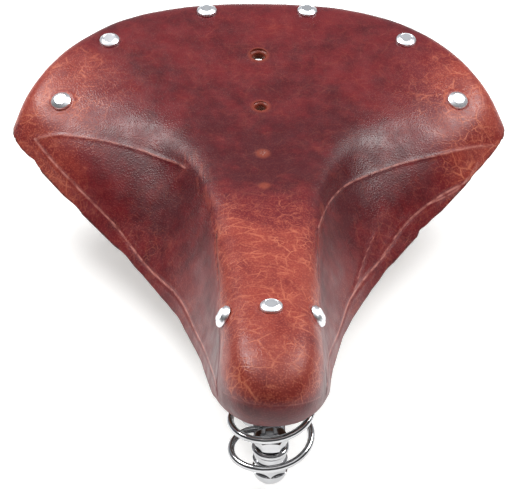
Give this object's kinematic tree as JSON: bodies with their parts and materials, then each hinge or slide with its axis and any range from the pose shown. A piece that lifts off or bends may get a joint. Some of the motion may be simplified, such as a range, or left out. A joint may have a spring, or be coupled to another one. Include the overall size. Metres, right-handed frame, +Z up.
{
  "type": "bicycle saddle",
  "caption": "Sprung bicycle saddle: thick riveted leather top on a steel frame with nose and rear coil springs, tension nut and seatpost clip.",
  "frame": {"origin": "on the seatpost axis, at the height where the clip band is 2 mm below it and the rails 1 mm above it", "axes": "+Z up, -Y towards the nose, +X to the rider's left"},
  "size_m": [0.2386, 0.2948, 0.0872],
  "materials": {
    "leather": "aged red-brown harness leather, waxed, with grain, creases and worn lighter patches",
    "rivet": "polished tubular rivet heads with a flat darker centre",
    "chrome": "bright chrome plate",
    "plated_steel": "dull nickel plate on pressed steel",
    "zinc_steel": "zinc-plated fasteners and forgings"
  },
  "bodies": {
    "seatpost_clip": {"post_band": "chrome"},
    "rail_clamp": {"inner_cheek_left": "zinc_steel", "inner_cheek_right": "zinc_steel", "outer_cheek_left": "zinc_steel", "outer_cheek_right": "zinc_steel", "cross_bolt_washer_left": "zinc_steel", "cross_bolt_washer_right": "zinc_steel", "cross_bolt_nut_left": "chrome", "cross_bolt_nut_right": "chrome", "cross_bolt": "zinc_steel"},
    "lower_frame": {"rail_left": "chrome", "rail_right": "chrome", "front_bracket": "chrome", "rear_bridge": "chrome", "front_spring": "chrome", "front_spring_bush": "chrome", "front_spring_bolt": "chrome", "dome_nut_washer": "chrome", "dome_nut": "chrome", "rear_spring_left": "chrome", "rear_spring_right": "chrome", "rear_spring_bottom_bolt_left": "chrome", "rear_spring_bottom_bolt_right": "chrome", "rear_spring_bottom_nut_left": "zinc_steel", "rear_spring_bottom_nut_right": "zinc_steel"},
    "seat_top": {"leather_top": "leather", "cantle_plate": "plated_steel", "rear_rivet_1_left": "rivet", "rear_rivet_1_right": "rivet", "rear_rivet_2_left": "rivet", "rear_rivet_2_right": "rivet", "rear_rivet_3_left": "rivet", "rear_rivet_3_right": "rivet", "upper_bridge": "plated_steel", "upper_wire_left": "plated_steel", "upper_wire_right": "plated_steel", "nose_yoke": "plated_steel", "front_spring_top_bolt": "chrome", "front_spring_top_nut": "zinc_steel", "rear_spring_top_bolt_left": "zinc_steel", "rear_spring_top_bolt_right": "zinc_steel", "rear_spring_top_nut_left": "zinc_steel", "rear_spring_top_nut_right": "zinc_steel"},
    "nose": {"nose_piece": "plated_steel", "nose_rivet_top": "rivet", "nose_rivet_left": "rivet", "nose_rivet_right": "rivet", "tension_pin": "zinc_steel"},
    "tension_nut": {"tension_nut": "zinc_steel"}
  },
  "joints": [
    {"name": "saddle_tilt", "type": "hinge", "parent": "seatpost_clip", "child": "rail_clamp", "pos_m": [0, 0.025, -0.013], "axis": [1, 0, 0], "range_deg": [-15, 15]},
    {"name": "saddle_fore_aft", "type": "slide", "parent": "rail_clamp", "child": "lower_frame", "axis": [0, 1, 0], "range_m": [-0.008, 0.022]},
    {"name": "suspension", "type": "hinge", "parent": "lower_frame", "child": "seat_top", "pos_m": [0, -0.19, 0.02], "axis": [-1, 0, 0], "range_deg": [0, 4.3], "stiffness_Nm_per_rad": 3500, "springref_deg": -0.23, "deforming": ["front_spring", "rear_spring_left", "rear_spring_right"]},
    {"name": "tension_nut_turn", "type": "hinge", "parent": "seat_top", "child": "tension_nut", "pos_m": [0, -0.0875, 0.0415], "axis": [0, -1, 0], "range_deg": [0, 1440]},
    {"name": "nose_tension", "type": "slide", "parent": "seat_top", "child": "nose", "axis": [0, -1, 0], "range_m": [0, 0.004], "deforming": ["leather_top"]}
  ],
  "couplings": [
    {"joint": "tension_nut_turn", "follows": "nose_tension", "rad_per_m": 6283.2}
  ]
}
